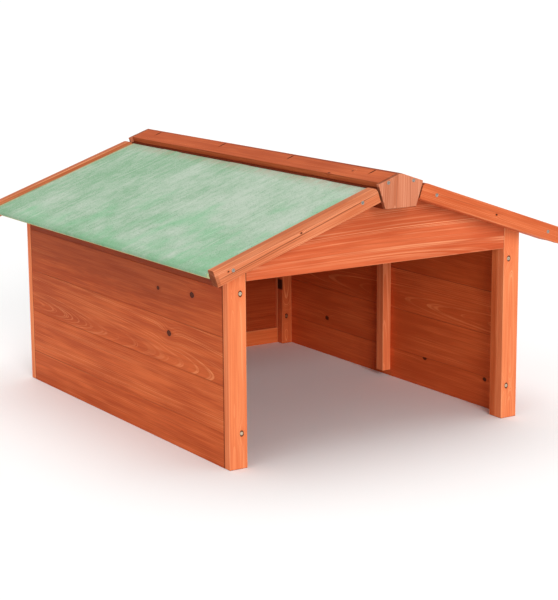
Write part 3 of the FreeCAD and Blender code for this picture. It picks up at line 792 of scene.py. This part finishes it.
def lie_of(kind, length, y, sign):
    """How far the felt rises or dips at a place on it, from about -1 to 1."""
    return noise.noise(Vector((length * kind["down"], y * kind["along"], kind["seed"] * sign)))


def make_felt(side, sign):
    """One closed sheet of felt with its flat map, and its length from head to foot."""
    down, out = down_slope(sign)
    profile, lengths = felt_profile()
    stops = [-FELT_HALF_WIDTH]
    for middle in NOTCH_PLACES:
        stops += [middle - NOTCH_HALF, middle + NOTCH_HALF]
    across = steps_between(stops + [FELT_HALF_WIDTH], FELT_STEP)
    top = Vector((0, 0, RIDGE_LINE))
    outer, inner, flat = [], [], []
    for (far, near), length in zip(profile, lengths):
        for y in across:
            lie = lie_of(SLOW_LIE, length, y, sign)
            lie += QUICK_LIE["share"] * lie_of(QUICK_LIE, length, y, sign)
            edge = max(0.0, 1 - (FELT_HALF_WIDTH - abs(y)) / EDGE_REACH)
            calm = share_of(FELT_EAVE - FELT_FOLD_RADIUS - far[0]) * share_of(far[0] - FELT_HEAD)
            lift = FELT_WAVE * (FLAT_SHARE + SLOW_LIE["share"] * lie + EDGE_SHARE * edge * edge) * calm
            from_hinge = min(abs(y - place) for place in NOTCH_PLACES) - NOTCH_HALF
            at_hinge = 1 - share_of(from_hinge)
            over = KNUCKLE_LIFT * at_hinge * (1 - share_of(far[0] - NOTCH_FOOT))
            back = KNUCKLE_BARE * at_hinge
            far_down = max(far[0], FELT_HEAD + back)
            near_down = max(near[0], FELT_HEAD + back)
            outer.append(top + down * far_down + out * (far[1] + max(lift, over)) + DEEP * y)
            inner.append(top + down * near_down + out * (near[1] + over) + DEEP * y)
            flat.append((y, length))
    columns = len(across)
    faces = []
    for row in range(len(profile) - 1):
        for column in range(columns - 1):
            first = row * columns + column
            corners = (first, first + 1, first + columns + 1, first + columns)
            faces.append(corners if sign < 0 else corners[::-1])
    used = {}
    for face in faces:
        for ends in zip(face, face[1:] + face[:1]):
            used[ends] = True
    count = len(outer)
    rims = [(stop, start, start + count, stop + count)
            for start, stop in used if (stop, start) not in used]
    under = [tuple(corner + count for corner in reversed(face)) for face in faces]
    mesh = bpy.data.meshes.new("felt_" + side)
    mesh.from_pydata(outer + inner, [], faces + under + rims)
    sheet_map = mesh.uv_layers.new(name="flat")
    for loop in mesh.loops:
        sheet_map.data[loop.index].uv = flat[loop.vertex_index % count]
    piece = bpy.data.objects.new("felt_" + side, mesh)
    bpy.context.scene.collection.objects.link(piece)
    for face in mesh.polygons:
        face.use_smooth = face.index < 2 * len(faces)
    return piece, lengths[-1]


# Stretches are spots in a metre along the ridge and down the slope. Swings are a gain and a shift.
GRAIN_SCALE = 780
FELT_CLOUD = {"stretch": (9, 7, 1), "seed": 0.0, "detail": 3}
FELT_BLOT = {"stretch": (70, 45, 1), "seed": 1.7, "detail": 4}
FELT_STREAK = {"stretch": (150, 7, 1), "seed": 3.1, "detail": 2}
FELT_RUB = {"stretch": (330, 14, 1), "seed": 5.3, "detail": 1}
FELT_FRESH = {"stretch": (16, 11, 1), "seed": 8.9, "detail": 3}
CLOUD_TONE = (1.5, -0.75)
STREAK_TONE = (0.8, -0.4)
BLOT_TONE = (0.9, 0.08)
GRAIN_TONE = (0.35, -0.175)
TONE_ALONG = -0.35
FRESH_ALONG = -0.28
FRESH_DOWN = (0.75, -0.14)
FRESH_STREAK = (0.35, -0.175)
FELT_GREEN = (0.225, 0.405, 0.245, 1)
FELT_FADED = (0.470, 0.555, 0.455, 1)
# Each layer over the green: its greatest share, and its colour.
FELT_LAYERS = {
    "fresh": (0.68, (0.195, 0.465, 0.245, 1)),
    "edge_and_streak_tone": (0.6, (0.58, 0.65, 0.55, 1)),
    "pale speck": (0.4, (0.50, 0.60, 0.47, 1)),
    "dark speck": (0.5, (0.08, 0.19, 0.10, 1)),
    "fold": (0.30, (0.13, 0.30, 0.15, 1)),
    "stained head": (0.5, (0.36, 0.25, 0.16, 1)),
    "backing": (0.7, (0.66, 0.52, 0.22, 1)),
}
FRESH_EDGE = (0.50, 0.76)
RUBBED_EDGE = (0.64, 0.74)
PALE_SPECK_EDGE = (0.9, 0.98)
DARK_SPECK_EDGE = (0.92, 0.99)
FOLD_SHADE_EDGE = (318 * MM, 333 * MM)
HEAD_EDGE = (34 * MM, 2 * MM)
HEAD_BLOTS = (0.3, 0.6)
FOOT_EDGE = (343.3 * MM, 344.2 * MM)
RIM_EDGE = (414 * MM, 423.5 * MM)
BACKING_BLOTS = (0.25, 0.5)
FELT_ROUGHNESS = 0.92
FELT_SHINE = 0.2
FELT_RELIEF = 0.5 * MM
FELT_BUMP = 0.5


def felt_noise(tree, place, kind, roll):
    """One of the felt's own noises, moved on by the roll that the sheet is cut from."""
    return stretched_noise(tree, place, kind["stretch"], roll + kind["seed"], kind["detail"]).outputs[0]


def make_felt_material(side, roll):
    """Mineral felt on its flat map, where x runs along the ridge and y down the slope, in metres."""
    material, tree, shader = new_material("mineral_felt_" + side)
    flat = tree.nodes.new("ShaderNodeUVMap")
    flat.uv_map = "flat"
    place = flat.outputs[0]
    x, y, _ = parted(tree, place)
    grains = tree.nodes.new("ShaderNodeTexVoronoi")
    grains.feature = "F1"
    grains.inputs["Scale"].default_value = GRAIN_SCALE
    tree.links.new(place, grains.inputs["Vector"])
    shade = tree.nodes.new("ShaderNodeSeparateColor")
    tree.links.new(grains.outputs["Color"], shade.inputs[0])

    # Slow clouds, blots, streaks down the slope and single grains make the felt's green.
    clouds = felt_noise(tree, place, FELT_CLOUD, roll)
    blots = felt_noise(tree, place, FELT_BLOT, roll)
    streaks = felt_noise(tree, place, FELT_STREAK, roll)
    tone = maths(tree, "MULTIPLY_ADD", clouds, *CLOUD_TONE)
    tone = maths(tree, "ADD", tone, maths(tree, "MULTIPLY_ADD", streaks, *STREAK_TONE))
    tone = maths(tree, "ADD", tone, maths(tree, "MULTIPLY_ADD", blots, *BLOT_TONE))
    tone = maths(tree, "ADD", tone, maths(tree, "MULTIPLY_ADD", shade.outputs[0], *GRAIN_TONE))
    tone = maths(tree, "ADD", tone, maths(tree, "MULTIPLY", x, TONE_ALONG))
    colour = mixed(tree, ramp(tree, tone, 0.0, 1.0), FELT_GREEN, FELT_FADED)

    # Fresher patches, rubbed streaks, specks, painted shade near and over the eave fold, the stained
    # head and the bare edges.
    fresh = felt_noise(tree, place, FELT_FRESH, roll)
    fresh = maths(tree, "ADD", fresh, maths(tree, "MULTIPLY", x, FRESH_ALONG))
    fresh = maths(tree, "ADD", fresh, maths(tree, "MULTIPLY_ADD", y, *FRESH_DOWN))
    fresh = maths(tree, "ADD", fresh, maths(tree, "MULTIPLY_ADD", streaks, *FRESH_STREAK))
    head = maths(tree, "MULTIPLY", ramp(tree, y, *HEAD_EDGE), ramp(tree, blots, *HEAD_BLOTS))
    rim = ramp(tree, maths(tree, "ABSOLUTE", x), *RIM_EDGE)
    cut_edge = maths(tree, "MAXIMUM", ramp(tree, y, *FOOT_EDGE), rim)
    masks = {
        "fresh": ramp(tree, fresh, *FRESH_EDGE),
        "edge_and_streak_tone": ramp(tree, felt_noise(tree, place, FELT_RUB, roll), *RUBBED_EDGE),
        "pale speck": ramp(tree, shade.outputs[1], *PALE_SPECK_EDGE),
        "dark speck": ramp(tree, shade.outputs[2], *DARK_SPECK_EDGE),
        # Painted shade: the felt darkens just above the eave and over its fold.
        "fold": ramp(tree, y, *FOLD_SHADE_EDGE),
        "stained head": head,
        "backing": maths(tree, "MULTIPLY", cut_edge, ramp(tree, blots, *BACKING_BLOTS)),
    }
    for name, (share, tint) in FELT_LAYERS.items():
        colour = mixed(tree, maths(tree, "MULTIPLY", masks[name], share), colour, tint)
    tree.links.new(colour, shader.inputs["Base Color"])
    shader.inputs["Roughness"].default_value = FELT_ROUGHNESS
    shader.inputs["Specular IOR Level"].default_value = FELT_SHINE
    raised = maths(tree, "MULTIPLY_ADD", grains.outputs["Distance"], -1.0, blots)
    raise_surface(tree, shader, raised, FELT_BUMP, FELT_RELIEF)
    return material


FELT_ROLLS = {"left": 12.4, "right": 31.0}
for side, sign in SIDES.items():
    felt, felt_length = make_felt(side, sign)
    felt.data.materials.append(make_felt_material(side, FELT_ROLLS[side]))
    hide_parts("roof_felt_" + side)
    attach(felt, "flap_" + side)

# ---- Screws -----------------------------------------------------------------------------------------
# Zinc-plated countersunk screws with a cross recess, driven flush: two in each front post, rear
# stile and barge board, and two in each ridge end plate.
SCREW_TOP = 0.3 * MM
SCREW_SIZES = {"Head width": 6.0 * MM, "Shank width": 3.4 * MM, "Head depth": 2.6 * MM,
               "Recess width": 0.95 * MM, "Recess reach": 4.3 * MM, "Recess depth": 1.5 * MM}
HEAD_SIDES = 36


def fed_node(tree, kind, feeds):
    """A node with its named inputs fed from sockets or set to plain values."""
    node = tree.nodes.new(kind)
    for name, value in feeds.items():
        connect(tree, node.inputs[name], value)
    return node


def make_screw_tree():
    """Countersunk heads on points, each turned its own way about the line it was driven along."""
    tree = bpy.data.node_groups.new("Countersunk screws", "GeometryNodeTree")
    tree.interface.new_socket("Geometry", in_out="INPUT", socket_type="NodeSocketGeometry")
    for name in SCREW_SIZES:
        tree.interface.new_socket(name, in_out="INPUT", socket_type="NodeSocketFloat")
    tree.interface.new_socket("Seed", in_out="INPUT", socket_type="NodeSocketInt")
    tree.interface.new_socket("Plating", in_out="INPUT", socket_type="NodeSocketMaterial")
    tree.interface.new_socket("Geometry", in_out="OUTPUT", socket_type="NodeSocketGeometry")
    given = tree.nodes.new("NodeGroupInput").outputs
    result = tree.nodes.new("NodeGroupOutput").inputs

    # A cone for the head, with two crossed bars cut out of its top.
    head = fed_node(tree, "GeometryNodeMeshCone", {
        "Vertices": HEAD_SIDES,
        "Radius Bottom": maths(tree, "MULTIPLY", given["Head width"], 0.5),
        "Radius Top": maths(tree, "MULTIPLY", given["Shank width"], 0.5),
        "Depth": given["Head depth"],
    })
    cut = tree.nodes.new("GeometryNodeMeshBoolean")
    cut.operation = "DIFFERENCE"
    cut.solver = "EXACT"
    tree.links.new(head.outputs["Mesh"], cut.inputs["Mesh 1"])
    through = maths(tree, "MULTIPLY", given["Recess depth"], 2.0)
    reach, width = given["Recess reach"], given["Recess width"]
    for x, y in ((reach, width), (width, reach)):
        size = fed_node(tree, "ShaderNodeCombineXYZ", {"X": x, "Y": y, "Z": through})
        bar = fed_node(tree, "GeometryNodeMeshCube", {"Size": size.outputs[0]})
        tree.links.new(bar.outputs["Mesh"], cut.inputs["Mesh 2"])

    # Each head faces out along its own line, turned by up to a quarter.
    facing = tree.nodes.new("GeometryNodeInputNamedAttribute")
    facing.data_type = "FLOAT_VECTOR"
    facing.inputs["Name"].default_value = "driven"
    aim = tree.nodes.new("FunctionNodeAlignRotationToVector")
    aim.axis = "Z"
    tree.links.new(facing.outputs["Attribute"], aim.inputs["Vector"])
    spin = tree.nodes.new("FunctionNodeRandomValue")
    spin.data_type = "FLOAT"
    limits = {socket.name: socket for socket in spin.inputs if socket.type == "VALUE"}
    limits["Min"].default_value = 0.0
    limits["Max"].default_value = math.pi / 2
    tree.links.new(given["Seed"], spin.inputs["Seed"])
    turn = next(socket for socket in spin.outputs if socket.type == "VALUE")
    twist = fed_node(tree, "FunctionNodeAxisAngleToRotation", {"Axis": UP, "Angle": turn})
    turned = fed_node(tree, "FunctionNodeRotateRotation", {
        "Rotation": aim.outputs[0], "Rotate By": twist.outputs[0]})
    turned.rotation_space = "LOCAL"
    points = fed_node(tree, "GeometryNodeMeshToPoints", {"Mesh": given["Geometry"]})
    placed = fed_node(tree, "GeometryNodeInstanceOnPoints", {
        "Points": points.outputs[0], "Instance": cut.outputs[0], "Rotation": turned.outputs[0]})
    real = fed_node(tree, "GeometryNodeRealizeInstances", {"Geometry": placed.outputs[0]})
    plated = fed_node(tree, "GeometryNodeSetMaterial", {
        "Geometry": real.outputs[0], "Material": given["Plating"]})
    tree.links.new(plated.outputs[0], result["Geometry"])
    return tree


SCREW_TREE = make_screw_tree()
BRIGHT_ZINC = metal("bright_zinc", (0.72, 0.63, 0.49), 0.14, 7.0, (0.45, 0.35, 0.23))
DULL_ZINC = metal("dull_zinc", (0.46, 0.42, 0.38), 0.25, 8.0, (0.30, 0.24, 0.19))


def drive_screws(name, places, plating, stands_for, body):
    """One piece of screw heads. places holds (point on the face, direction driven)."""
    mesh = bpy.data.meshes.new(name + "_points")
    mesh.from_pydata([point + driven * SCREW_TOP for point, driven in places], [], [])
    heading = mesh.attributes.new("driven", "FLOAT_VECTOR", "POINT")
    for spot, (_, driven) in zip(heading.data, places):
        spot.vector = driven
    work = bpy.data.objects.new(name + "_points", mesh)
    bpy.context.scene.collection.objects.link(work)
    modifier = work.modifiers.new("Screws", "NODES")
    modifier.node_group = SCREW_TREE
    values = {**SCREW_SIZES, "Seed": len(name), "Plating": plating}
    for item in SCREW_TREE.interface.items_tree:
        if item.in_out == "INPUT" and item.name in values:
            modifier[item.identifier] = values[item.name]
    graph = bpy.context.evaluated_depsgraph_get()
    made = bpy.data.meshes.new_from_object(work.evaluated_get(graph))
    bpy.data.objects.remove(work)
    piece = bpy.data.objects.new(name, made)
    bpy.context.scene.collection.objects.link(piece)
    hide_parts(stands_for)
    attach(piece, body)


POST_FACE = -387 * MM
REAR_STILE_FACE = 353 * MM
post_places = []
for sign in SIDES.values():
    for height in POST_SCREW_HEIGHTS:
        post_places.append((Vector((sign * POST_SCREW_SIDE, POST_FACE, height)), DEEP))
        post_places.append((Vector((sign * POST_SCREW_SIDE, REAR_STILE_FACE, height)), DEEP))
drive_screws("post_screw_heads", post_places, BRIGHT_ZINC, "frame_screws", "shelter")

PLATE_FACE = 443 * MM
PLATE_SCREW = (26 * MM, 4.8 * MM)
plate_places = []
for sign in SIDES.values():
    down, out = down_slope(sign)
    for end in (-1, 1):
        spot = Vector((0, end * PLATE_FACE, RIDGE_LINE))
        spot = spot + down * PLATE_SCREW[0] + out * PLATE_SCREW[1]
        plate_places.append((spot, DEEP * -end))
drive_screws("end_plate_screw_heads", plate_places, DULL_ZINC, "ridge_end_plate_screws", "shelter")

BARGE_FACE = 441 * MM
BARGE_SCREWS = (84 * MM, 350 * MM)
for side, sign in SIDES.items():
    down, out = down_slope(sign)
    places = []
    for far in BARGE_SCREWS:
        for end in (-1, 1):
            spot = Vector((0, end * BARGE_FACE, RIDGE_LINE)) + down * far + out * BARGE_MIDDLE[1]
            places.append((spot, DEEP * -end))
    drive_screws("barge_screw_heads_" + side, places, DULL_ZINC, "barge_screws_" + side, "flap_" + side)

# ---- Floor, lights and camera -----------------------------------------------------------------------
# A pale studio floor and a white surround. Three soft lamps light the shelter from the front,
# the left and above.
FLOOR_REACH = 60.0
FLOOR_PAINT = (0.97, 0.97, 0.965, 1)
FLOOR_ROUGHNESS = 0.9
floor_mesh = bpy.data.meshes.new("floor")
floor_corners = [(x * FLOOR_REACH, y * FLOOR_REACH, 0) for x, y in ((-1, -1), (1, -1), (1, 1), (-1, 1))]
floor_mesh.from_pydata(floor_corners, [], [(0, 1, 2, 3)])
floor = bpy.data.objects.new("floor", floor_mesh)
bpy.context.scene.collection.objects.link(floor)
paint, _, painted = new_material("floor_paint")
painted.inputs["Base Color"].default_value = FLOOR_PAINT
painted.inputs["Roughness"].default_value = FLOOR_ROUGHNESS
floor.data.materials.append(paint)

# The surround lights the shelter softly. Behind it, the backdrop is plain white.
SURROUND_LIGHT = (1.0, 0.995, 0.99, 1)
SURROUND_STRENGTH = 0.44
BACKDROP = (1, 1, 1, 1)
world = bpy.data.worlds.new("studio")
world.use_nodes = True
studio = world.node_tree
surround = studio.nodes["Background"]
surround.inputs["Color"].default_value = SURROUND_LIGHT
surround.inputs["Strength"].default_value = SURROUND_STRENGTH
backdrop = studio.nodes.new("ShaderNodeBackground")
backdrop.inputs["Color"].default_value = BACKDROP
seen = studio.nodes.new("ShaderNodeMixShader")
direct = studio.nodes.new("ShaderNodeLightPath")
studio.links.new(direct.outputs["Is Camera Ray"], seen.inputs[0])
studio.links.new(surround.outputs[0], seen.inputs[1])
studio.links.new(backdrop.outputs[0], seen.inputs[2])
studio.links.new(seen.outputs[0], studio.nodes["World Output"].inputs["Surface"])
bpy.context.scene.world = world


def add_sun(name, towards, strength, softness):
    """A far, soft lamp. towards points from the object to the lamp."""
    lamp = bpy.data.lights.new(name, "SUN")
    lamp.energy = strength
    lamp.angle = math.radians(softness)
    holder = bpy.data.objects.new(name, lamp)
    holder.rotation_mode = "QUATERNION"
    holder.rotation_quaternion = Vector(towards).to_track_quat("Z", "Y")
    bpy.context.scene.collection.objects.link(holder)


# Towards the lamp, its strength, and its spread in degrees.
LAMPS = {
    "front": ((-0.28, -0.90, 0.30), 1.75, 26),
    "left": ((-0.75, -0.28, 0.66), 0.25, 35),
    "top": ((0.1, 0.1, 1.0), 1.45, 60),
}
for name, (towards, strength, softness) in LAMPS.items():
    add_sun(name, towards, strength, softness)

CAMERA_PLACE = (-1.7308, -2.7630, 0.8566)
CAMERA_TURN = 0.5697
CAMERA_DIP = 0.2021
CAMERA_ROLL = -0.0072
CAMERA_LENS = 104.28
CAMERA_FAR = 300
camera = bpy.data.objects.new("camera", bpy.data.cameras.new("camera"))
camera.data.lens = CAMERA_LENS
camera.matrix_world = (
    Matrix.Translation(CAMERA_PLACE)
    @ Matrix.Rotation(-CAMERA_TURN, 4, "Z")
    @ Matrix.Rotation(math.pi / 2 - CAMERA_DIP, 4, "X")
    @ Matrix.Rotation(CAMERA_ROLL, 4, "Z")
)
camera.data.clip_end = CAMERA_FAR
bpy.context.scene.collection.objects.link(camera)
bpy.context.scene.camera = camera
bpy.context.scene.view_settings.view_transform = "Standard"
